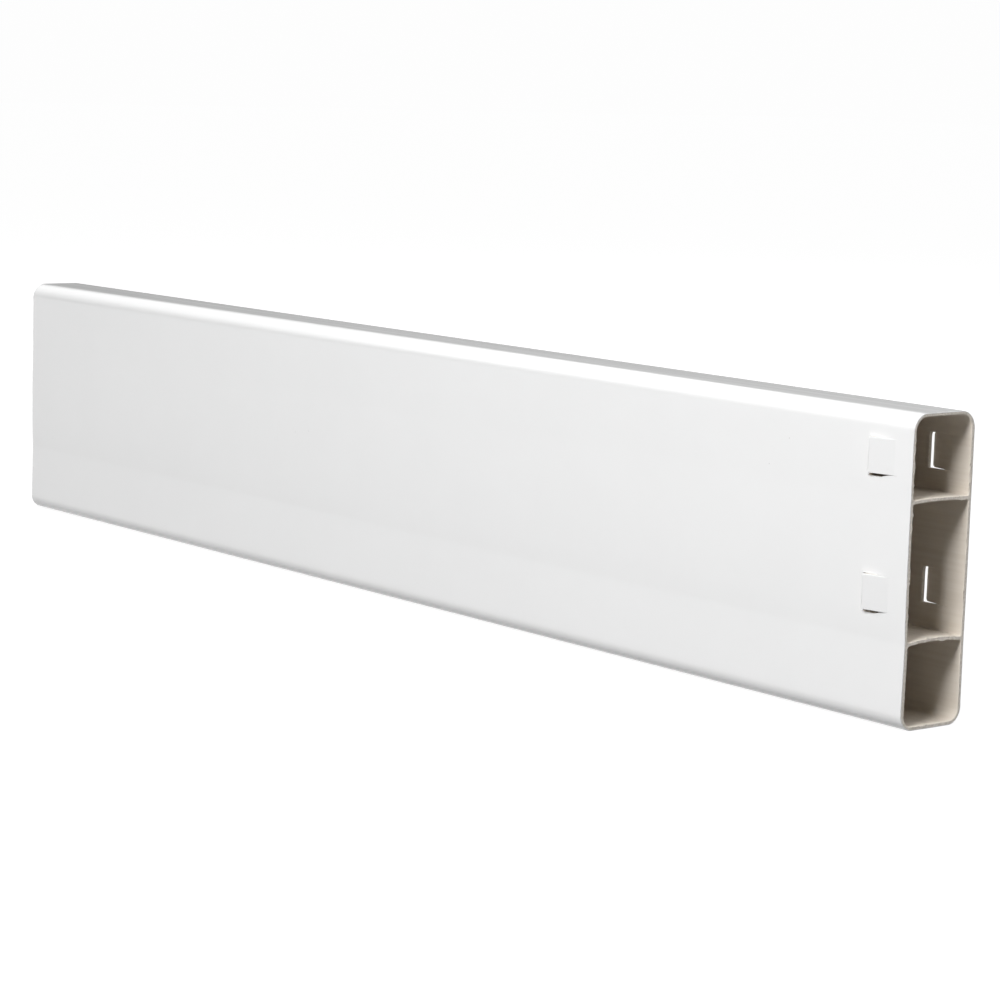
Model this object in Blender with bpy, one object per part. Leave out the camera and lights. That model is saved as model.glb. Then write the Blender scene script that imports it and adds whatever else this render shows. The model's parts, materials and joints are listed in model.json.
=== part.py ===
"""Hollow vinyl fence rail with four lanced locking tabs, in metres, +Z up.

The rail is one extruded rounded rectangle with two bowed webs, so its section has three chambers.
Its length lies along X and its bottom edge rests on Z = 0. Near the +X end, two tabs in the front
wall (-Y) and two in the rear wall (+Y) are cut on three sides and sprung outwards. Each tab bends
about a vertical line near its root, and springs back behind the wall of a routed post.
"""
import math

import bmesh
import bpy
from mathutils import Matrix, Vector

# Extrusion: a standard 1-1/2 x 5-1/2 inch rail.
LENGTH = 0.752
DEPTH = 0.0381
HEIGHT = 0.1397
WALL = 0.0019
CORNER_RADIUS = 0.0076

# Webs: heights of their middle planes at the walls, and how far each one bows upwards.
WEB_THICKNESS = 0.0017
LOWER_WEB_HEIGHT = 0.03855
LOWER_WEB_BOW = 0.0012
UPPER_WEB_HEIGHT = 0.10105
UPPER_WEB_BOW = 0.0006

# Locking tabs: the same tab in four places.
HINGE_FROM_END = 0.011
TAB_LENGTH = 0.0134
TAB_HEIGHT = 0.0159
TAB_CORNER_RADIUS = 0.0015
TAB_ANGLE = math.radians(11.0)
TAB_CENTRES = {"lower": 0.05915, "upper": 0.11955}
WINDOW_FROM_END = 0.0255
GAP = 0.0003

# Walls: the side of the rail that each wall stands on.
WALL_SIDES = {"front": -1.0, "rear": 1.0}

# Facets.
CORNER_STEPS = 10
WEB_STEPS = 12
TAB_CORNER_STEPS = 4
ROOT_STEPS = 8

PVC_COLOUR = (0.86, 0.87, 0.87, 1.0)
PVC_ROUGHNESS = 0.32


def clear_scene():
    for thing in list(bpy.data.objects):
        bpy.data.objects.remove(thing, do_unlink=True)


def plastic(name):
    """White PVC for one sub-part."""
    material = bpy.data.materials.new(name)
    material.use_nodes = True
    shader = material.node_tree.nodes["Principled BSDF"]
    shader.inputs["Base Color"].default_value = PVC_COLOUR
    shader.inputs["Roughness"].default_value = PVC_ROUGHNESS
    shader.inputs["Metallic"].default_value = 0.0
    return material


def add_object(name, bm):
    """Link a new object made from bm, smooth where its facets are shallow."""
    bmesh.ops.recalc_face_normals(bm, faces=bm.faces)
    mesh = bpy.data.meshes.new(name)
    bm.to_mesh(mesh)
    bm.free()
    mesh.shade_smooth()
    mesh.set_sharp_from_angle(angle=math.radians(30.0))
    thing = bpy.data.objects.new(name, mesh)
    bpy.context.scene.collection.objects.link(thing)
    return thing


def arc(centre, radius, start, sweep, steps):
    """Points of an arc in a plane, both ends included; angles in degrees."""
    angles = [math.radians(start + sweep * step / steps) for step in range(steps + 1)]
    return [(centre[0] + radius * math.cos(a), centre[1] + radius * math.sin(a)) for a in angles]


def shell_bottom(inset):
    """The bottom of the shell's outline, front to rear, moved in from the outside by inset."""
    side = DEPTH / 2 - inset
    radius = CORNER_RADIUS - inset
    front = arc((-side + radius, inset + radius), radius, 180.0, 90.0, CORNER_STEPS)
    rear = arc((side - radius, inset + radius), radius, 270.0, 90.0, CORNER_STEPS)
    return front + rear


def shell_top(inset):
    """The top of the shell's outline, front to rear: the bottom turned over."""
    return [(y, HEIGHT - z) for y, z in shell_bottom(inset)]


def web_face(height, bow, offset):
    """One face of a web, front wall to rear wall, as a shallow parabola."""
    side = DEPTH / 2 - WALL
    points = []
    for step in range(WEB_STEPS + 1):
        across = 2.0 * step / WEB_STEPS - 1.0
        points.append((across * side, height + offset + bow * (1.0 - across * across)))
    return points


def section_loops():
    """The closed outlines of the section: the outside, then the three chambers."""
    half = WEB_THICKNESS / 2
    lower_under = web_face(LOWER_WEB_HEIGHT, LOWER_WEB_BOW, -half)
    lower_over = web_face(LOWER_WEB_HEIGHT, LOWER_WEB_BOW, half)
    upper_under = web_face(UPPER_WEB_HEIGHT, UPPER_WEB_BOW, -half)
    upper_over = web_face(UPPER_WEB_HEIGHT, UPPER_WEB_BOW, half)
    floors_and_ceilings = [
        (shell_bottom(0.0), shell_top(0.0)),
        (shell_bottom(WALL), lower_under),
        (lower_over, upper_under),
        (upper_over, shell_top(WALL)),
    ]
    return [floor + list(reversed(ceiling)) for floor, ceiling in floors_and_ceilings]


def make_rail():
    """Fill the section at the far end and draw it out to the tabbed end."""
    bm = bmesh.new()
    edges = []
    for loop in section_loops():
        verts = [bm.verts.new((-LENGTH / 2, y, z)) for y, z in loop]
        edges += [bm.edges.new((verts[i - 1], verts[i])) for i in range(len(verts))]
    filled = bmesh.ops.triangle_fill(bm, edges=edges, use_beauty=True, normal=(1.0, 0.0, 0.0))
    faces = [item for item in filled["geom"] if isinstance(item, bmesh.types.BMFace)]
    drawn = bmesh.ops.extrude_face_region(bm, geom=faces)
    moved = [item for item in drawn["geom"] if isinstance(item, bmesh.types.BMVert)]
    bmesh.ops.translate(bm, verts=moved, vec=(LENGTH, 0.0, 0.0))
    rail = add_object("rail", bm)
    rail.data.materials.append(plastic("rail_white_pvc"))
    return rail


def prism(outline, low_y, high_y):
    """A solid between two planes across Y, from an outline in X and Z."""
    bm = bmesh.new()
    face = bm.faces.new([bm.verts.new((x, low_y, z)) for x, z in outline])
    drawn = bmesh.ops.extrude_face_region(bm, geom=[face])
    moved = [item for item in drawn["geom"] if isinstance(item, bmesh.types.BMVert)]
    bmesh.ops.translate(bm, verts=moved, vec=(0.0, high_y - low_y, 0.0))
    return bm


def hinge_point(side, height):
    """The middle of a tab's hinge line, half way through its wall."""
    return Vector((LENGTH / 2 - HINGE_FROM_END, side * (DEPTH - WALL) / 2, height))


def cut_window(rail, name, side, height):
    """Cut the opening that a tab is lanced from, and leave its cutter in the scene as a guide."""
    near = LENGTH / 2 - HINGE_FROM_END + WALL / 2 + GAP
    far = LENGTH / 2 - WINDOW_FROM_END
    reach = TAB_HEIGHT / 2 + GAP
    outline = [(far, height - reach), (near, height - reach), (near, height + reach), (far, height + reach)]
    middle = side * (DEPTH - WALL) / 2
    cutter = add_object(name + "_window_cutter", prism(outline, middle - WALL, middle + WALL))
    cutter.hide_render = True
    cutter.display_type = "WIRE"
    cut = rail.modifiers.new(name + "_window", "BOOLEAN")
    cut.operation = "DIFFERENCE"
    cut.solver = "EXACT"
    cut.object = cutter


def tab_outline():
    """A tab seen from the front: square root, two round corners at the free edge."""
    half = TAB_HEIGHT / 2
    radius = TAB_CORNER_RADIUS
    bottom = arc((radius - TAB_LENGTH, radius - half), radius, 270.0, -90.0, TAB_CORNER_STEPS)
    top = arc((radius - TAB_LENGTH, half - radius), radius, 180.0, -90.0, TAB_CORNER_STEPS)
    root = WALL / 2
    return [(root, -half)] + bottom + top + [(root, half)]


def make_tab(name, side, height):
    """A tab with a rolled root centred on its hinge line, sprung outwards by TAB_ANGLE."""
    bm = prism(tab_outline(), -WALL / 2, WALL / 2)
    root_edges = []
    for edge in bm.edges:
        at_root = all(vert.co.x > WALL / 4 for vert in edge.verts)
        upright = abs(edge.verts[0].co.z - edge.verts[1].co.z) > TAB_HEIGHT / 2
        if at_root and upright:
            root_edges.append(edge)
    bmesh.ops.bevel(bm, geom=root_edges, offset=0.98 * WALL / 2, segments=ROOT_STEPS, profile=0.5,
                    affect="EDGES")
    tab = add_object(name, bm)
    tab.data.materials.append(plastic(name + "_white_pvc"))
    tab.matrix_world = Matrix.Translation(hinge_point(side, height)) @ Matrix.Rotation(-side * TAB_ANGLE, 4, "Z")
    return tab


def main():
    clear_scene()
    rail = make_rail()
    for wall, side in WALL_SIDES.items():
        for level, height in TAB_CENTRES.items():
            name = wall + "_" + level + "_tab"
            cut_window(rail, name, side, height)
            make_tab(name, side, height)


main()
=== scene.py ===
"""Looks for the hollow vinyl fence rail: its surface in fine detail, its PVC, and a plain pale studio.

The rail's skin is one mesh of long strips that follow the section: walls that sink slightly where the
webs meet them, filleted webs, sawn ends with burrs, and the windows that the tabs are lanced from.
Each tab is a mesh that leaves the wall as one piece and bends with its joint. All sizes are in metres.
"""
import json
import math

import bmesh
import bpy
import numpy as np
from mathutils import Matrix, Vector, noise

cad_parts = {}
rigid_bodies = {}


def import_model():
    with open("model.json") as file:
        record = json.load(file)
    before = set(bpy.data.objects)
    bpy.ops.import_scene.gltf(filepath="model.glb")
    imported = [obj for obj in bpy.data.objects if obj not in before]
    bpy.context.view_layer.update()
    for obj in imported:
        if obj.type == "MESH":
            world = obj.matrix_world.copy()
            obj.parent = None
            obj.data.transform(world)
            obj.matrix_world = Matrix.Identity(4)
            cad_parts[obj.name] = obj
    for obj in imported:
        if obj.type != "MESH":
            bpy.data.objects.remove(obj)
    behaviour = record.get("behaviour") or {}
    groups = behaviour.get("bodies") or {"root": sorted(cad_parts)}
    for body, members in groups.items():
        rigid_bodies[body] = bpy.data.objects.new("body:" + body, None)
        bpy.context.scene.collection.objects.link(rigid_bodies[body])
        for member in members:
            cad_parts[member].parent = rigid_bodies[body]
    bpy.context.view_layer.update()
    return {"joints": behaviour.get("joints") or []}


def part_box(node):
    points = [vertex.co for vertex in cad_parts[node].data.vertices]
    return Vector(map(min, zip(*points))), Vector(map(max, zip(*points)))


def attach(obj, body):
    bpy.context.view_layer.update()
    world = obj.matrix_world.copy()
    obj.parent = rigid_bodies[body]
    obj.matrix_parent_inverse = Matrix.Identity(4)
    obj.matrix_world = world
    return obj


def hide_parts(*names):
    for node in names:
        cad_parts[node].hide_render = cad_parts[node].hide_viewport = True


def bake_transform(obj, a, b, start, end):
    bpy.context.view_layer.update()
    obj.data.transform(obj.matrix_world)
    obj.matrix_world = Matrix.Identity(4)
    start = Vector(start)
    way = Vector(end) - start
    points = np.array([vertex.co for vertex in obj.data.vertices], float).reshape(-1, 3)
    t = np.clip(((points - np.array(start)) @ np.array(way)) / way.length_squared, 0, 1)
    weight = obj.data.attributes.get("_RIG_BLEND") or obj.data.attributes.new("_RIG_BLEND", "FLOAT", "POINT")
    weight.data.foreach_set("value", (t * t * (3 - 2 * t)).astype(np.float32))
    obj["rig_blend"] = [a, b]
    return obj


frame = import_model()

# The rail, from the frame.
RAIL_LOW, RAIL_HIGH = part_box("rail")
TABBED_END = RAIL_HIGH.x
PLAIN_END = RAIL_LOW.x
HALF_DEPTH = RAIL_HIGH.y
HEIGHT = RAIL_HIGH.z

# The section. Each web has the height of its middle at the walls, how far it bows upwards, how far it pulls
# both walls in, and the narrow extra pinch where it joins them.
WALL = 0.0019
TOP_WALL = 0.0016
TOP_RADIUS = 0.0082
BOTTOM_RADIUS = 0.0075
INNER_BOTTOM_RADIUS = 0.0048
WEB_THICKNESS = 0.0017
WEB_FILLET = 0.0009
LOWER_WEB = {"height": 0.03855, "bow": 0.0012, "pull": 0.00035, "pinch": 0.00022}
UPPER_WEB = {"height": 0.10105, "bow": 0.0006, "pull": 0.0, "pinch": 0.00007}

# How the walls settle: insets are inwards and crowns are outwards, at full size on the front wall. Waves are
# counted in a metre, as grains are below.
PINCH_REACH = 0.006
MIDDLE_CROWN = 0.0003
UPPER_CROWN = 0.00006
BOTTOM_INSET = 0.00012
TOP_INSET = 0.00006
REAR_SHARE = 0.3
FRONT_THICKER_LOW = 0.00042
FRONT_THINNER_HIGH = 0.0003
EDGE_CROWN = 0.0001
WAVE = 0.00003
WALL_WAVES_ALONG = 5.0
WALL_WAVES_UP = 14.0
EDGE_WAVES_ALONG = 4.0
EDGE_WAVES_ACROSS = 20.0

# The sawn ends. A grain is how many cells of noise there are in a metre.
OUTER_CHAMFER = 0.00012
INNER_CHAMFER = 0.0003
SAW_SETBACK = 0.00016
SAW_UNEVENNESS = 0.00006
SAW_GRAIN_Y = 350.0
SAW_GRAIN_Z = 900.0
SAW_CUTS = 2
BURR = 0.0011
BURR_GRAIN = 600.0
BURR_PATCH_GRAIN = 90.0
BURR_COVER = 0.35
BURR_CONTRAST = 2.5
BURR_SHIFTS = [Vector((17.0, 0.0, 0.0)), Vector((0.0, 31.0, 0.0)), Vector((0.0, 0.0, 47.0))]

# The tabs. Their edges are rolled outside and crisp inside.
TAB_HALF_HEIGHT = 0.00795
TAB_END = {"front": 0.0255, "rear": 0.02475}
TAB_CORNER = 0.0014
BEND_REACH = 0.0018
ROOT_OVERLAP = 0.00002
CRISP_EDGE = 0.00007
TOP_ROLL = 0.00065
FREE_ROLL = 0.0009
BOTTOM_ROLL = 0.00018
ROLL_REACH = 0.006
ROLL_AT_ROOT = 0.02
SKIN_ROUND_TOP = 0.8

# The windows. A share is 0 at the tab's root and 1 at the window's far end.
WINDOW_END = {"front": 0.026, "rear": 0.02525}
LANCE_GAP = 0.00005
CRISP_SHARE_AT_ROOT = 0.15
CRISP_FULL_AT = 0.4
TEAR = {"front": 0.0014, "rear": 0.00015}
TEAR_FROM = 0.28
TEAR_SPAN = 0.34
TEAR_RAGGEDNESS = 0.15
TEAR_GRAIN = 900.0
LIP_LIFT = 0.0005
LIP_DECAY = 0.0009

# How fine the meshes are: steps round each kind of corner, and the longest steps elsewhere.
OUTER_CORNER_STEPS = 14
INNER_CORNER_STEPS = 12
FILLET_STEPS = 5
TAB_CORNER_STEPS = 8
ROLL_STEPS = 6
BEND_ROUNDS = 6
STEP_ACROSS = 0.0013
STEP_UP = 0.00125
STEP_BY_TABS = 0.0007
TAB_ZONE = 0.034
STEP_MIDDLE = 0.012
STEP_BY_PLAIN_END = 0.003
PLAIN_END_ZONE = 0.01
STEP_ALONG_TAB = 0.0005
SHARE_STEP_ON_TAB = 0.075
SHARE_AT_TAB_MARGIN = 0.9
SHARP_ANGLE = math.radians(38.0)

# Points further out than this are on the wide walls, and anything under SMALL is nothing.
WIDE_WALL_FROM = 0.85 * HALF_DEPTH
SMALL = 1e-6

# Colours of the PVC, and how deep the white skin goes.
SKIN_DEPTH = 0.00035
WHITE = (0.865, 0.866, 0.866, 1.0)
WHITE_DULLER = (0.856, 0.857, 0.857, 1.0)
STOCK = (0.81, 0.745, 0.66, 1.0)
STOCK_DARKER = (0.765, 0.695, 0.605, 1.0)
SAWN_STOCK = (0.90, 0.845, 0.765, 1.0)
SAWN_STOCK_DARKER = (0.76, 0.70, 0.62, 1.0)
SPECK = (0.30, 0.29, 0.27, 1.0)
PVC_IOR = 1.53

# The PVC's surface: ranges of roughness, heights of its marks, and its faint specks.
GLOSSY = (0.17, 0.23)
MATTE = (0.42, 0.52)
SAWN = (0.5, 0.72)
FLOW_STRETCH = (6.0, 420.0, 420.0)
FLOW_HEIGHT = 0.00003
SAW_MARK_HEIGHT = 0.00007
BUMP_STRENGTH = 0.5
SPECK_CELLS = 80.0
SPECK_EDGE = (0.028, 0.016)
SPECK_CHOICE = (0.9, 0.93)
SPECK_SHARE = 0.35

# The studio.
CAMERA_PLACE = Vector((1.27317, -0.96406, 0.28118))
CAMERA_AIM = Vector((0.09331, -0.01905, 0.06552))
CAMERA_ROLL = math.radians(1.751)
CAMERA_LENS = 109.1
FLOOR_REACH = 14.0
FLOOR_COLOUR = (0.22, 0.22, 0.22, 1.0)
FLOOR_COLOUR_DARKER = (0.20, 0.20, 0.20, 1.0)
FLOOR_SHEEN = 1.2
GLOW_NEAR = 0.86
GLOW_FAR = 0.985
AMBIENT = 0.008
PURE_WHITE = (1.0, 1.0, 1.0, 1.0)


def smoothstep(value):
    """0 up to 0, 1 from 1, and a smooth rise between."""
    value = min(max(value, 0.0), 1.0)
    return value * value * (3.0 - 2.0 * value)


def spaced(stops, step):
    """The stops, with points between them no further apart than step."""
    stops = sorted(stops)
    points = [stops[0]]
    for low, high in zip(stops, stops[1:]):
        count = max(1, math.ceil((high - low) / step - SMALL))
        points += [low + (high - low) * i / count for i in range(1, count + 1)]
    return points


# ---------------------------------------------------------------- the section's shape


def inset(z):
    """How far a wall stands back at this height: the webs pull it in, and it bulges between them."""
    lower, upper = LOWER_WEB["height"], UPPER_WEB["height"]
    if z < lower:
        share = (z - BOTTOM_RADIUS) / (lower - BOTTOM_RADIUS)
        return BOTTOM_INSET + max(share, 0.0) * (LOWER_WEB["pull"] + LOWER_WEB["pinch"] - BOTTOM_INSET)
    if z < upper:
        web, crown, far, end = LOWER_WEB, MIDDLE_CROWN, UPPER_WEB["pull"] + UPPER_WEB["pinch"], upper
    else:
        web, crown, far, end = UPPER_WEB, UPPER_CROWN, TOP_INSET, HEIGHT - TOP_RADIUS
    share = min((z - web["height"]) / (end - web["height"]), 1.0)
    pinch = web["pinch"] * math.exp(-(z - web["height"]) / PINCH_REACH)
    return web["pull"] + share * (far - web["pull"]) - 4.0 * crown * share * (1.0 - share) + pinch


def front_growth(z):
    """How much thicker the front wall is than the others: the die is not quite even."""
    low = smoothstep(0.5 + (LOWER_WEB["height"] - z) / PINCH_REACH)
    high = smoothstep(0.5 + (z - UPPER_WEB["height"]) / PINCH_REACH)
    return low * FRONT_THICKER_LOW - high * FRONT_THINNER_HIGH


def settle(x, y, z, depth):
    """A point of the ideal extrusion where the real one has it, with its bulges and slight waves.

    depth is how far the point is below the outside, from 0 to the wall's thickness.
    """
    across = y / HALF_DEPTH
    if y < 0.0:
        y -= front_growth(z) * across * depth / WALL
    else:
        across *= REAR_SHARE
    on_wall = Vector((x * WALL_WAVES_ALONG, z * WALL_WAVES_UP, math.copysign(3.0, y)))
    wave = WAVE * (1.0 + noise.noise(on_wall))
    up = 2.0 * z / HEIGHT - 1.0
    crown = EDGE_CROWN * (y / HALF_DEPTH) ** 2 * up * up
    on_edge = Vector((x * EDGE_WAVES_ALONG, 7.0, y * EDGE_WAVES_ACROSS))
    level_wave = WAVE * (1.0 + noise.noise(on_edge)) * up * up
    return (x, y - across * (inset(z) + wave), z - math.copysign(crown + level_wave, up))


def arc(cy, cz, radius, start, sweep, steps):
    """Points of an arc about (cy, cz), both ends included; angles in degrees."""
    angles = [math.radians(start + sweep * i / steps) for i in range(steps + 1)]
    return [(cy + radius * math.cos(a), cz + radius * math.sin(a)) for a in angles]


def floor_line(half, level, corner, bow, steps):
    """The bottom of a loop, front wall to rear wall, with its two corners."""
    level += bow * (1.0 - ((half - corner) / half) ** 2)
    front = arc(-half + corner, level + corner, corner, 180.0, 90.0, steps)
    rear = arc(half - corner, level + corner, corner, 270.0, 90.0, steps)
    flat = []
    for y in spaced([-half + corner, half - corner], STEP_ACROSS)[1:-1]:
        flat.append((y, level + bow * (((half - corner) / half) ** 2 - (y / half) ** 2)))
    return front + flat + rear


def ceiling_line(half, level, corner, bow, steps):
    """The top of a loop, front wall to rear wall: a floor line turned over."""
    turned = floor_line(half, -level, corner, -bow, steps)
    return [(y, -z) for y, z in turned]


def wall_heights(low, high):
    """Heights up a wall between two corners, with stops on the tab windows' edges and lips."""
    reach = TAB_HALF_HEIGHT + LANCE_GAP
    stops = [low, high]
    for joint in frame["joints"]:
        centre = joint["pos_m"][2]
        upper_edge = centre + reach
        edges = (centre - reach, upper_edge, upper_edge + LIP_DECAY / 2, upper_edge + LIP_DECAY)
        stops += [edge for edge in edges if low < edge < high]
    return spaced(sorted(set(stops)), STEP_UP)


def loop(half, floor, ceiling):
    """A closed loop of the section: the floor, up the rear wall, back along the ceiling, down the front."""
    heights = wall_heights(floor[0][1], ceiling[0][1])[1:-1]
    rear = [(half, z) for z in heights]
    front = [(-half, z) for z in reversed(heights)]
    return floor + rear + list(reversed(ceiling)) + front


def section_loops():
    """The outside, then the three chambers, bottom to top."""
    inner = HALF_DEPTH - WALL
    half = WEB_THICKNESS / 2
    outside = loop(HALF_DEPTH, floor_line(HALF_DEPTH, 0.0, BOTTOM_RADIUS, 0.0, OUTER_CORNER_STEPS),
                   ceiling_line(HALF_DEPTH, HEIGHT, TOP_RADIUS, 0.0, OUTER_CORNER_STEPS))
    floor = floor_line(inner, WALL, INNER_BOTTOM_RADIUS, 0.0, INNER_CORNER_STEPS)
    shell_ceiling = ceiling_line(inner, HEIGHT - TOP_WALL, TOP_RADIUS - WALL, 0.0, INNER_CORNER_STEPS)
    chambers = []
    for web in (LOWER_WEB, UPPER_WEB):
        under = ceiling_line(inner, web["height"] - half, WEB_FILLET, web["bow"], FILLET_STEPS)
        chambers.append(loop(inner, floor, under))
        floor = floor_line(inner, web["height"] + half, WEB_FILLET, web["bow"], FILLET_STEPS)
    chambers.append(loop(inner, floor, shell_ceiling))
    return outside, chambers


def moved_into_material(points, distance, outer):
    """A loop moved into the plastic by distance, for the chamfer of a sawn edge."""
    pts = np.array(points)
    along = np.roll(pts, -1, 0) - np.roll(pts, 1, 0)
    along /= np.linalg.norm(along, axis=1)[:, None]
    # The loops run anticlockwise seen from the tabbed end, so this normal points into the loop.
    inward = np.stack([-along[:, 1], along[:, 0]], 1)
    return pts + inward * (distance if outer else -distance)


# ---------------------------------------------------------------- the rail's mesh


class Skin:
    """Vertices and faces of a skin as they are gathered, each vertex with its depth of colour."""

    def __init__(self):
        self.points = []
        self.depths = []
        self.faces = []
        self.cut = []

    def add(self, point, depth):
        self.points.append(point)
        self.depths.append(depth)
        return len(self.points) - 1

    def face(self, indices, cut=False):
        self.faces.append(indices)
        self.cut.append(cut)


def wall_windows():
    """The four windows: which wall, its low and high edges, its near and far ends, and its tear."""
    reach = TAB_HALF_HEIGHT + LANCE_GAP
    windows = []
    for joint in frame["joints"]:
        x, y, centre = joint["pos_m"]
        wall = "front" if y < 0 else "rear"
        windows.append({
            "side": math.copysign(1.0, y),
            "low": centre - reach,
            "high": centre + reach,
            "near": x + BEND_REACH,
            "far": TABBED_END - WINDOW_END[wall],
            "tear": TEAR[wall],
        })
    return windows


def share_along(window, x):
    """How far along a window x is: 0 at the tab's root and 1 at the far end."""
    return (window["near"] - x) / (window["near"] - window["far"])


def stations(windows):
    """Places along the rail: close together near the tabs and the ends, further apart between."""
    zone = TABBED_END - TAB_ZONE
    stops = [TABBED_END - SAW_SETBACK, zone]
    for window in windows:
        stops += [window["near"], window["far"]]
    by_plain_end = spaced([PLAIN_END + SAW_SETBACK, PLAIN_END + PLAIN_END_ZONE], STEP_BY_PLAIN_END)
    middle = spaced([PLAIN_END + PLAIN_END_ZONE, zone], STEP_MIDDLE)
    by_tabs = spaced(sorted(set(stops)), STEP_BY_TABS)
    return by_plain_end + middle[1:] + by_tabs[1:]


def in_window(window, x0, x1, a, b):
    """True if the strip from a to b, between places x0 and x1, lies in the window."""
    level = abs(abs(a[0]) - abs(b[0])) < SMALL
    if a[0] * window["side"] < WIDE_WALL_FROM or not level:
        return False
    low, high = min(a[1], b[1]), max(a[1], b[1])
    inside = low > window["low"] - SMALL and high < window["high"] + SMALL
    return inside and x0 > window["far"] - SMALL and x1 < window["near"] + SMALL


def add_loop(skin, points, xs, windows, outer):
    """Strips of faces along one loop of the section, with chamfered ends; returns its grid of indices."""
    depth = 0.0 if outer else WALL
    chamfer = OUTER_CHAMFER if outer else INNER_CHAMFER
    # The first and last stations give way to where this loop's chamfers start.
    sawn = SAW_SETBACK + chamfer
    xs = [PLAIN_END + sawn] + xs[1:-1] + [TABBED_END - sawn]
    moved = moved_into_material(points, chamfer, outer)
    grid = []
    grid.append([skin.add((PLAIN_END, y, z), depth) for y, z in moved])
    for x in xs:
        grid.append([skin.add((x, y, z), depth) for y, z in points])
    grid.append([skin.add((TABBED_END, y, z), depth) for y, z in moved])
    places = [PLAIN_END] + xs + [TABBED_END]
    count = len(points)
    for i in range(len(grid) - 1):
        for j in range(count):
            k = (j + 1) % count
            if any(in_window(w, places[i], places[i + 1], points[j], points[k]) for w in windows):
                continue
            quad = (grid[i][j], grid[i + 1][j], grid[i + 1][k], grid[i][k])
            skin.face(quad if outer else quad[::-1])
    return grid


def window_ring(points, grid, xs, window):
    """Indices round a window's edge on one surface, with the direction away from the opening at each."""
    low_edge, high_edge = window["low"] - SMALL, window["high"] + SMALL
    rows = [i + 1 for i, x in enumerate(xs) if window["far"] - SMALL < x < window["near"] + SMALL]
    columns = [j for j, (y, z) in enumerate(points)
               if y * window["side"] > WIDE_WALL_FROM and low_edge < z < high_edge]
    columns.sort(key=lambda j: points[j][1])
    low, high = columns[0], columns[-1]
    ring = [(grid[i][low], 0.0, -1.0) for i in reversed(rows)]
    ring += [(grid[rows[0]][j], -1.0, 0.0) for j in columns[1:-1]]
    ring += [(grid[i][high], 0.0, 1.0) for i in rows]
    ring += [(grid[rows[-1]][j], 0.0, 0.0) for j in reversed(columns[1:-1])]
    return ring


def torn_depth(window, x, z):
    """How far a window's lower edge is torn down at this place."""
    ragged = 1.0 + TEAR_RAGGEDNESS * noise.noise(Vector((x * TEAR_GRAIN, window["side"], z * 10.0)))
    return window["tear"] * smoothstep((share_along(window, x) - TEAR_FROM) / TEAR_SPAN) * ragged


def cut_window(skin, window, outer_ring, inner_ring):
    """Joins a window's edges through the wall, crisp on both surfaces, with a torn lower edge."""
    rings = [[], [], [], []]
    side = window["side"]
    for (outer, dx, dz), (inner, _, _) in zip(outer_ring, inner_ring):
        x, y, z = skin.points[outer]
        _, inner_y, _ = skin.points[inner]
        opening = smoothstep(share_along(window, x) / CRISP_FULL_AT)
        crisp = CRISP_EDGE * (CRISP_SHARE_AT_ROOT + (1.0 - CRISP_SHARE_AT_ROOT) * opening)
        torn = torn_depth(window, x, z) if dz < 0 else 0.0
        edge = (x, z - torn)
        wide = (x + dx * crisp, z - torn + dz * crisp)
        skin.points[outer] = (wide[0], y, wide[1])
        skin.points[inner] = (wide[0], inner_y, wide[1])
        rings[0].append(outer)
        rings[1].append(skin.add((edge[0], y - side * crisp, edge[1]), crisp))
        rings[2].append(skin.add((edge[0], inner_y + side * crisp, edge[1]), WALL - crisp))
        rings[3].append(inner)
    count = len(outer_ring)
    for a, b in zip(rings, rings[1:]):
        for i in range(count):
            j = (i + 1) % count
            quad = (a[i], a[j], b[j], b[i])
            skin.face(quad if side > 0 else quad[::-1], cut=True)


def fill_end(bm, x, normal):
    """Closes a sawn end between the outside and the chambers, fine enough for the saw's marks."""
    ring = [e for e in bm.edges if e.is_boundary and all(abs(v.co.x - x) < SMALL for v in e.verts)]
    filled = bmesh.ops.triangle_fill(bm, edges=ring, use_beauty=True, normal=normal)
    faces = [item for item in filled["geom"] if isinstance(item, bmesh.types.BMFace)]
    for face in faces:
        face.material_index = 1
    edges = list(dict.fromkeys(edge for face in faces for edge in face.edges))
    bmesh.ops.subdivide_edges(bm, edges=edges, cuts=SAW_CUTS, use_grid_fill=True)


def saw_end(x, y, z, rim):
    """Where a point of a sawn end is: set back, uneven from the blade, and ragged along the inside rims."""
    outward = math.copysign(1.0, x)
    uneven = noise.noise(Vector((y * SAW_GRAIN_Y, z * SAW_GRAIN_Z, outward)))
    back = SAW_SETBACK + SAW_UNEVENNESS * uneven
    if rim:
        fine = Vector((y * BURR_GRAIN, z * BURR_GRAIN, 5.0 + outward))
        ragged = [noise.noise(fine + shift) for shift in BURR_SHIFTS]
        coarse = Vector((y * BURR_PATCH_GRAIN, z * BURR_PATCH_GRAIN, 9.0 + outward))
        patch = smoothstep(BURR_COVER + BURR_CONTRAST * noise.noise(coarse))
        back -= BURR * patch * max(0.0, ragged[0])
        y += BURR * patch * ragged[1]
        z += BURR * patch * ragged[2]
    return x - outward * max(back, 0.0), y, z


def drawn_lip(x, y, z, windows):
    """How far the wall is drawn out along a window's upper edge, most where the tab stands out most."""
    total = 0.0
    for window in windows:
        if y * window["side"] < WIDE_WALL_FROM:
            continue
        if x > window["far"]:
            along = smoothstep(share_along(window, x))
        else:
            along = smoothstep(1.0 - (window["far"] - x) / (2.0 * LIP_DECAY))
        total += LIP_LIFT * along * math.exp(-abs(z - window["high"]) / LIP_DECAY)
    return total


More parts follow.
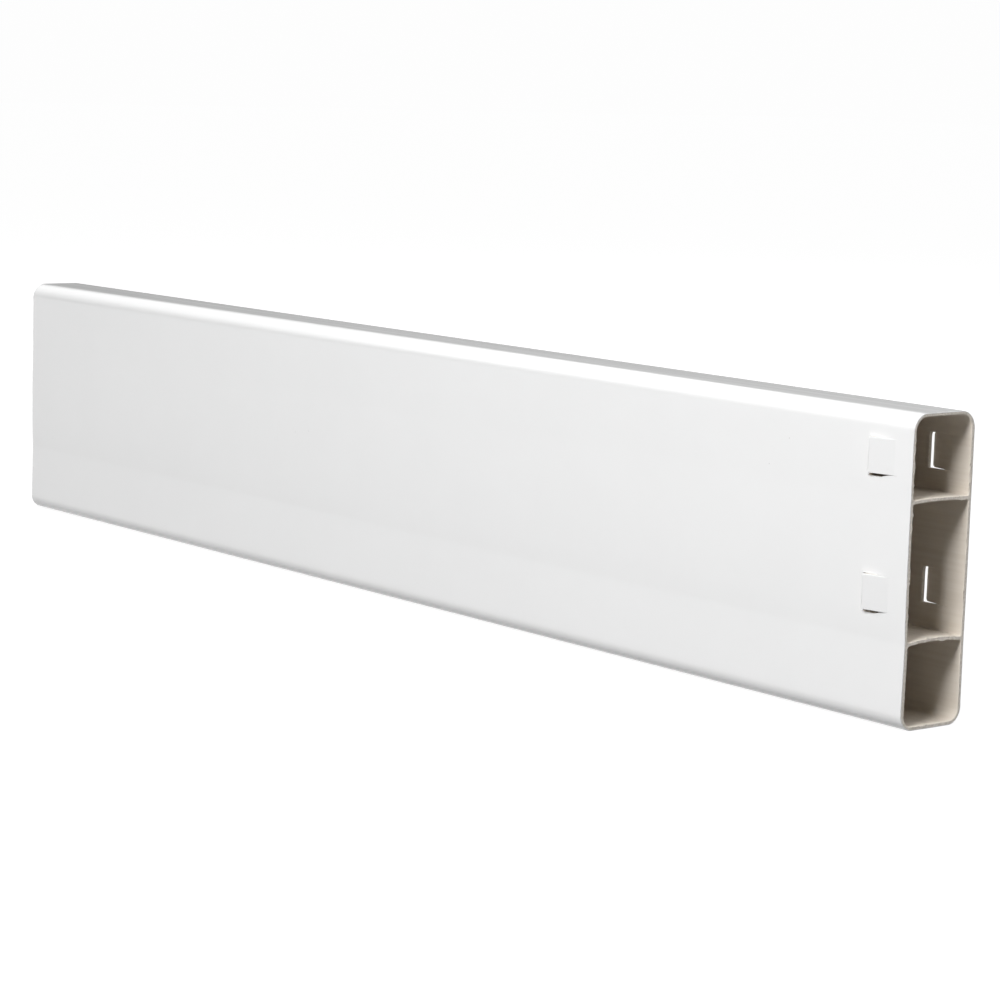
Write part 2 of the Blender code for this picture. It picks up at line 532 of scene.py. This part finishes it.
def skin_mesh(skin, name):
    """A mesh of the gathered skin, with the cut faces in the second material slot."""
    mesh = bpy.data.meshes.new(name)
    mesh.from_pydata(skin.points, [], skin.faces)
    for polygon, cut in zip(mesh.polygons, skin.cut):
        polygon.material_index = 1 if cut else 0
    attribute = mesh.attributes.new("depth", "FLOAT", "POINT")
    attribute.data.foreach_set("value", skin.depths)
    return mesh


def add_piece(name, mesh, bm):
    """Links an object with the mesh that bm holds, smooth where its facets are shallow."""
    bmesh.ops.recalc_face_normals(bm, faces=bm.faces)
    bm.to_mesh(mesh)
    bm.free()
    mesh.shade_smooth()
    mesh.set_sharp_from_angle(angle=SHARP_ANGLE)
    piece = bpy.data.objects.new(name, mesh)
    bpy.context.scene.collection.objects.link(piece)
    return piece


def rail_strips(windows):
    """The ideal extrusion with its windows cut, still open at both ends."""
    outside, chambers = section_loops()
    xs = stations(windows)
    skin = Skin()
    outer_grid = add_loop(skin, outside, xs, windows, True)
    grids = [add_loop(skin, points, xs, windows, False) for points in chambers]
    for window in windows:
        outer_ring = window_ring(outside, outer_grid, xs, window)
        for points, grid in zip(chambers, grids):
            heights = [z for _, z in points]
            if min(heights) < window["low"] and window["high"] < max(heights):
                cut_window(skin, window, outer_ring, window_ring(points, grid, xs, window))
    return skin


def shape_rail(bm, windows):
    """Moves every vertex from the ideal extrusion to where the real one has it."""
    depth_layer = bm.verts.layers.float["depth"]
    for vert in bm.verts:
        x, y, z = vert.co
        depth = vert[depth_layer]
        lip = drawn_lip(x, y, z, windows)
        if abs(abs(x) - TABBED_END) < SMALL:
            # A rim is where a chamber's side meets the sawn face.
            rim = depth > 0.9 * WALL and any(face.material_index == 0 for face in vert.link_faces)
            x, y, z = saw_end(x, y, z, rim)
        x, y, z = settle(x, y, z, depth)
        vert.co = (x, y + math.copysign(lip, y), z)


def make_rail():
    """The whole extrusion as one closed mesh."""
    windows = wall_windows()
    mesh = skin_mesh(rail_strips(windows), "rail_skin")
    bm = bmesh.new()
    bm.from_mesh(mesh)
    fill_end(bm, TABBED_END, (1.0, 0.0, 0.0))
    fill_end(bm, PLAIN_END, (-1.0, 0.0, 0.0))
    shape_rail(bm, windows)
    return add_piece("rail_skin", mesh, bm)


# ---------------------------------------------------------------- the tabs


def tab_rows(root, free):
    """Rows of a flat tab, root to free edge: x, half height, and the way its upper edge faces in X and Z."""
    rows = []
    for x in spaced([free + TAB_CORNER, root], STEP_ALONG_TAB)[::-1]:
        rows.append((x, TAB_HALF_HEIGHT, 0.0, 1.0))
    for step in range(1, TAB_CORNER_STEPS + 1):
        turn = math.radians(90.0 * (1.0 - step / TAB_CORNER_STEPS))
        x = free + TAB_CORNER * (1.0 - math.cos(turn))
        half = TAB_HALF_HEIGHT - TAB_CORNER * (1.0 - math.sin(turn))
        rows.append((x, half, -math.cos(turn), math.sin(turn)))
    return rows


def tab_profile(away, faces, upper):
    """Inset, depth and depth of colour round a tab's edge: rolled outside, crisp inside.

    away is the distance from the root, and faces is how much the edge faces up or down. The upper edge is
    drawn more than it is cut, so the white skin goes round it.
    """
    roll = FREE_ROLL + faces * ((TOP_ROLL if upper else BOTTOM_ROLL) - FREE_ROLL)
    roll *= ROLL_AT_ROOT + (1.0 - ROLL_AT_ROOT) * smoothstep(away / ROLL_REACH)
    drawn = faces * SKIN_ROUND_TOP if upper else 0.0
    profile = []
    for step in range(ROLL_STEPS + 1):
        turn = math.radians(90.0 * step / ROLL_STEPS)
        depth = roll * (1.0 - math.cos(turn))
        profile.append((roll * (1.0 - math.sin(turn)), depth, depth * (1.0 - drawn)))
    profile.append((0.0, WALL - CRISP_EDGE, WALL))
    profile.append((CRISP_EDGE, WALL, WALL))
    return profile


def flat_tab_point(row, profiles, share, level):
    """Place along, place across, depth and depth of colour of a flat tab's point.

    profiles are the lower and the upper edge's, share runs from -1 to 1 between them, and level counts
    through them from the outside to the inside.
    """
    x, half, out_x, out_z = row
    ends = []
    for sign, profile in zip((-1.0, 1.0), profiles):
        edge_inset, depth, colour_depth = profile[level]
        ends.append((x - out_x * edge_inset, sign * (half - out_z * edge_inset), depth, colour_depth))
    mix = (share + 1.0) / 2.0
    return [low + mix * (high - low) for low, high in zip(*ends)]


def bent(point, pivot, angle, start, end):
    """A flat tab's point where the bend puts it: turned by the share of the angle that its place has."""
    flat = Vector(point)
    rest = flat.copy()
    span = end - start
    for _ in range(BEND_ROUNDS):
        share = smoothstep((rest - start).dot(span) / span.length_squared)
        turn = Matrix.Rotation(angle * share, 3, "Z")
        rest = pivot + turn @ (flat - pivot)
    return rest


def tab_edge(last, columns):
    """Grid places round a tab's cut edge: along the bottom, up the free edge and back along the top."""
    edge = [(i, 0) for i in range(last)]
    edge += [(last, j) for j in range(columns)]
    edge += [(i, columns - 1) for i in reversed(range(last))]
    return edge


def join_tab(skin, outer, inner, rings):
    """Faces of a tab: a grid on each side, rings round its cut edge, and one face at its root."""
    for grid in (outer, inner):
        for row, following in zip(grid, grid[1:]):
            for j in range(len(row) - 1):
                skin.face((row[j], row[j + 1], following[j + 1], following[j]))
    for level, (a, b) in enumerate(zip(rings, rings[1:])):
        for i in range(len(a) - 1):
            skin.face((a[i], a[i + 1], b[i + 1], b[i]), cut=level >= ROLL_STEPS)
    low_side = [ring[0] for ring in rings]
    high_side = [ring[-1] for ring in reversed(rings[:-1])]
    skin.face(low_side + inner[0][1:] + high_side + outer[0][1:-1][::-1], cut=True)


def tab_skin(bend, side):
    """A tab's skin: grids of points outside and inside, and rings of points round its cut edge between them.

    bend is the pivot, the angle at rest, and where the bend starts and ends.
    """
    pivot, _, start, _ = bend
    root = start.x + ROOT_OVERLAP
    rows = tab_rows(root, TABBED_END - TAB_END["front" if side < 0 else "rear"])
    profiles = [[tab_profile(root - x, faces, upper) for upper in (False, True)] for x, _, _, faces in rows]
    across = spaced([-1.0, -SHARE_AT_TAB_MARGIN, SHARE_AT_TAB_MARGIN, 1.0], SHARE_STEP_ON_TAB)
    last = len(rows) - 1
    inside = len(profiles[0][0]) - 1
    edge = tab_edge(last, len(across))
    skin = Skin()

    def place(i, share, level):
        x, z, depth, colour_depth = flat_tab_point(rows[i], profiles[i], share, level)
        z += pivot.z
        _, y, _ = settle(x, side * (HALF_DEPTH - depth), z, depth)
        return skin.add(tuple(bent((x, y, z), *bend)), colour_depth)

    outer = [[place(i, share, 0) for share in across] for i in range(last + 1)]
    inner = [[place(i, share, inside) for share in across] for i in range(last + 1)]
    rings = [[outer[i][j] for i, j in edge]]
    rings += [[place(i, across[j], level) for i, j in edge] for level in range(1, inside)]
    rings.append([inner[i][j] for i, j in edge])
    join_tab(skin, outer, inner, rings)
    return skin


def make_tab(joint):
    """One tab, bent out of the wall as at rest, with the two ends of its bend."""
    pivot = Vector(joint["pos_m"])
    side = math.copysign(1.0, pivot.y)
    angle = -side * math.radians(joint["range_deg"][1])
    start = pivot + Vector((BEND_REACH, 0.0, 0.0))
    end = pivot - Vector((BEND_REACH, 0.0, 0.0))
    name = joint["child"].replace("_body", "_skin")
    mesh = skin_mesh(tab_skin((pivot, angle, start, end), side), name)
    bm = bmesh.new()
    bm.from_mesh(mesh)
    return add_piece(name, mesh, bm), start, end


# ---------------------------------------------------------------- materials


class Graph:
    """A short way to build a node tree."""

    def __init__(self, tree):
        self.tree = tree

    def put(self, socket, value):
        """Links the socket to another one, or gives it a value."""
        if isinstance(value, bpy.types.NodeSocket):
            self.tree.links.new(value, socket)
        else:
            socket.default_value = value

    def node(self, kind, settings=None, **inputs):
        made = self.tree.nodes.new(kind)
        for key, value in (settings or {}).items():
            setattr(made, key, value)
        for key, value in inputs.items():
            self.put(made.inputs[key.replace("_", " ")], value)
        return made

    def stretched(self, coordinates, scale):
        return self.node("ShaderNodeMapping", Vector=coordinates, Scale=scale).outputs["Vector"]

    def noise(self, vector, scale, detail=2.0):
        made = self.node("ShaderNodeTexNoise", Vector=vector, Scale=scale, Detail=detail)
        return made.outputs["Fac"]

    def ramp(self, value, low, high, to_low=0.0, to_high=1.0):
        made = self.node("ShaderNodeMapRange", Value=value, From_Min=low, From_Max=high, To_Min=to_low,
                         To_Max=to_high)
        return made.outputs["Result"]

    def mix(self, factor, a, b):
        """Mixes two colours. The node has sockets of the same name for each kind, so these go by number."""
        made = self.node("ShaderNodeMix", {"data_type": "RGBA"})
        for index, value in ((0, factor), (6, a), (7, b)):
            self.put(made.inputs[index], value)
        return made.outputs[2]

    def mix_numbers(self, factor, a, b):
        made = self.node("ShaderNodeMix", {"data_type": "FLOAT"})
        for index, value in ((0, factor), (2, a), (3, b)):
            self.put(made.inputs[index], value)
        return made.outputs[0]

    def maths(self, operation, a, b):
        made = self.node("ShaderNodeMath", {"operation": operation})
        self.put(made.inputs[0], a)
        self.put(made.inputs[1], b)
        return made.outputs[0]


def add_specks(graph, place, colour):
    """A few faint dark specks, one in some cells of a Voronoi pattern."""
    cells = graph.node("ShaderNodeTexVoronoi", Vector=place, Scale=SPECK_CELLS)
    near_seed = graph.ramp(cells.outputs["Distance"], *SPECK_EDGE)
    draw = graph.node("ShaderNodeSeparateColor", Color=cells.outputs["Color"]).outputs[0]
    chosen = graph.ramp(draw, *SPECK_CHOICE)
    speck = graph.maths("MULTIPLY", graph.maths("MULTIPLY", near_seed, chosen), SPECK_SHARE)
    return graph.mix(speck, colour, SPECK)


def sawn_surface(graph, place, fine):
    """Height of the saw's marks with its scale, and roughness."""
    marks = graph.node("ShaderNodeTexWave", {"wave_type": "BANDS", "bands_direction": "DIAGONAL"},
                       Vector=graph.stretched(place, (0.0, 1.0, 0.35)), Scale=260.0, Distortion=3.0)
    height = graph.maths("ADD", graph.maths("MULTIPLY", marks.outputs["Fac"], 0.6), fine)
    return height, SAW_MARK_HEIGHT, graph.ramp(fine, 0.3, 0.7, *SAWN)


def extruded_surface(graph, flow, cloud, below_skin):
    """Height of the faint flow lines with its scale, and roughness: glossy skin, duller stock."""
    height = graph.maths("ADD", graph.maths("MULTIPLY", flow, 0.4), graph.maths("MULTIPLY", cloud, 0.25))
    glossy = graph.ramp(flow, 0.3, 0.7, *GLOSSY)
    matte = graph.ramp(flow, 0.3, 0.7, *MATTE)
    return height, FLOW_HEIGHT, graph.mix_numbers(below_skin, glossy, matte)


def pvc(name, sawn):
    """White PVC: a glossy skin over warmer stock; sawn faces are rougher and show the saw's marks."""
    material = bpy.data.materials.new(name)
    material.use_nodes = True
    graph = Graph(material.node_tree)
    shader = material.node_tree.nodes["Principled BSDF"]
    place = graph.node("ShaderNodeTexCoord").outputs["Object"]
    depth = graph.node("ShaderNodeAttribute", {"attribute_name": "depth"}).outputs["Fac"]
    flow = graph.noise(graph.stretched(place, FLOW_STRETCH), 1.0, 3.0)
    cloud = graph.noise(place, 28.0, 3.0)
    fine = graph.noise(place, 900.0)
    below_skin = graph.ramp(depth, 0.8 * SKIN_DEPTH, 1.3 * SKIN_DEPTH)

    white = graph.mix(graph.ramp(cloud, 0.35, 0.7), WHITE, WHITE_DULLER)
    if sawn:
        stock = graph.mix(graph.ramp(fine, 0.35, 0.65), SAWN_STOCK, SAWN_STOCK_DARKER)
        height, distance, rough = sawn_surface(graph, place, fine)
    else:
        stock = graph.mix(graph.ramp(flow, 0.35, 0.65), STOCK, STOCK_DARKER)
        height, distance, rough = extruded_surface(graph, flow, cloud, below_skin)
    bump = graph.node("ShaderNodeBump", Height=height, Distance=distance, Strength=BUMP_STRENGTH)

    graph.put(shader.inputs["Base Color"], add_specks(graph, place, graph.mix(below_skin, white, stock)))
    graph.put(shader.inputs["Roughness"], rough)
    graph.put(shader.inputs["Normal"], bump.outputs["Normal"])
    graph.put(shader.inputs["IOR"], PVC_IOR)
    return material


def pale_floor():
    """A floor that the camera and mirrored rays see as white, and that throws little light on the object."""
    material = bpy.data.materials.new("pale_floor")
    material.use_nodes = True
    graph = Graph(material.node_tree)
    shader = material.node_tree.nodes["Principled BSDF"]
    place = graph.node("ShaderNodeTexCoord").outputs["Object"]
    rays = graph.node("ShaderNodeLightPath").outputs
    reach = graph.node("ShaderNodeVectorMath", {"operation": "LENGTH"}, Vector=place).outputs["Value"]
    seen = graph.maths("MULTIPLY", rays["Is Camera Ray"], graph.ramp(reach, 0.4, 1.6, GLOW_NEAR, GLOW_FAR))
    mirrored = graph.maths("MULTIPLY", rays["Is Glossy Ray"], FLOOR_SHEEN)
    colour = graph.mix(graph.noise(place, 3.0), FLOOR_COLOUR, FLOOR_COLOUR_DARKER)
    graph.put(shader.inputs["Base Color"], colour)
    graph.put(shader.inputs["Roughness"], 0.7)
    graph.put(shader.inputs["Specular IOR Level"], 0.2)
    graph.put(shader.inputs["Emission Color"], PURE_WHITE)
    graph.put(shader.inputs["Emission Strength"], graph.maths("ADD", seen, mirrored))
    return material


# ---------------------------------------------------------------- the studio


def add_camera():
    """The scene's camera, with its slight roll."""
    data = bpy.data.cameras.new("camera")
    data.sensor_width = 36.0
    data.lens = CAMERA_LENS
    data.clip_start = 0.01
    data.clip_end = 100.0
    camera = bpy.data.objects.new("camera", data)
    bpy.context.scene.collection.objects.link(camera)
    aim = (CAMERA_AIM - CAMERA_PLACE).to_track_quat("-Z", "Y").to_matrix().to_4x4()
    camera.matrix_world = Matrix.Translation(CAMERA_PLACE) @ aim @ Matrix.Rotation(CAMERA_ROLL, 4, "Z")
    bpy.context.scene.camera = camera


def from_direction(aim, azimuth, elevation, distance):
    """A place seen from aim at this azimuth (0 in front, 90 at the tabbed end), elevation and distance."""
    azimuth, elevation = math.radians(azimuth), math.radians(elevation)
    away = Vector((math.sin(azimuth) * math.cos(elevation), -math.cos(azimuth) * math.cos(elevation),
                   math.sin(elevation)))
    return Vector(aim) + away * distance


def softbox(name, place, aim, width, height, power):
    """A white panel of light at place, turned towards aim; power in watts."""
    data = bpy.data.lights.new(name, "AREA")
    data.shape = "RECTANGLE"
    data.size = width
    data.size_y = height
    data.energy = power
    light = bpy.data.objects.new(name, data)
    bpy.context.scene.collection.objects.link(light)
    turn = (Vector(aim) - Vector(place)).to_track_quat("-Z", "Y").to_matrix().to_4x4()
    light.matrix_world = Matrix.Translation(place) @ turn


def add_lights():
    """A compact key from the front, and wide soft panels all round."""
    middle = (0.0, 0.0, HEIGHT / 2)
    near_middle = (0.15, 0.0, HEIGHT / 2)
    opening = (0.36, 0.0, 0.09)
    softbox("key", from_direction(opening, 12.8, 38.6, 1.6), opening, 0.48, 0.48, 23.0)
    softbox("fill", from_direction(middle, -40.0, 32.0, 1.8), middle, 1.2, 0.9, 6.6)
    softbox("low_fill", from_direction(middle, -25.0, 12.0, 1.8), middle, 1.4, 0.5, 1.6)
    softbox("left", from_direction(middle, -97.0, 40.0, 2.0), middle, 2.6, 1.2, 11.5)
    softbox("low_left", from_direction(middle, -80.0, 22.0, 2.0), middle, 2.0, 0.8, 2.6)
    softbox("back", from_direction(near_middle, 168.0, 42.0, 2.0), near_middle, 1.6, 1.0, 10.0)
    softbox("rear_fill", from_direction(middle, 172.0, 22.0, 2.0), middle, 1.6, 0.6, 14.0)
    softbox("top", (0.75, 0.15, 1.35), (0.3, 0.0, HEIGHT), 0.8, 0.8, 3.2)
    softbox("right", from_direction(near_middle, 108.0, 18.0, 1.6), near_middle, 0.6, 0.6, 1.8)


def add_world():
    """White where the camera sees it, and a dimmer even light on the object."""
    world = bpy.data.worlds.new("studio")
    bpy.context.scene.world = world
    world.use_nodes = True
    graph = Graph(world.node_tree)
    background = world.node_tree.nodes["Background"]
    seen = graph.node("ShaderNodeLightPath").outputs["Is Camera Ray"]
    graph.put(background.inputs["Strength"], graph.ramp(seen, 0.0, 1.0, AMBIENT, GLOW_FAR))
    graph.put(background.inputs["Color"], PURE_WHITE)


def add_floor():
    """A wide square floor that the rail stands on."""
    mesh = bpy.data.meshes.new("floor")
    corners = [(x * FLOOR_REACH, y * FLOOR_REACH, 0.0) for x, y in ((-1, -1), (1, -1), (1, 1), (-1, 1))]
    mesh.from_pydata(corners, [], [(0, 1, 2, 3)])
    mesh.materials.append(pale_floor())
    floor = bpy.data.objects.new("floor", mesh)
    bpy.context.scene.collection.objects.link(floor)


def add_rail_and_tabs():
    """The visual pieces, each with its two materials, riding on the bodies of the frame."""
    wall_pvc = pvc("pvc_wall", False)
    cut_pvc = pvc("pvc_sawn", True)
    rail = make_rail()
    rail.data.materials.append(wall_pvc)
    rail.data.materials.append(cut_pvc)
    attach(rail, "rail_body")
    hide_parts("rail")
    for joint in frame["joints"]:
        tab, start, end = make_tab(joint)
        tab.data.materials.append(wall_pvc)
        tab.data.materials.append(cut_pvc)
        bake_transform(tab, joint["parent"], joint["child"], start, end)
        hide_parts(joint["child"].replace("_body", ""))


def main():
    add_rail_and_tabs()
    add_camera()
    add_world()
    add_lights()
    add_floor()
    bpy.context.scene.view_settings.view_transform = "Standard"


main()
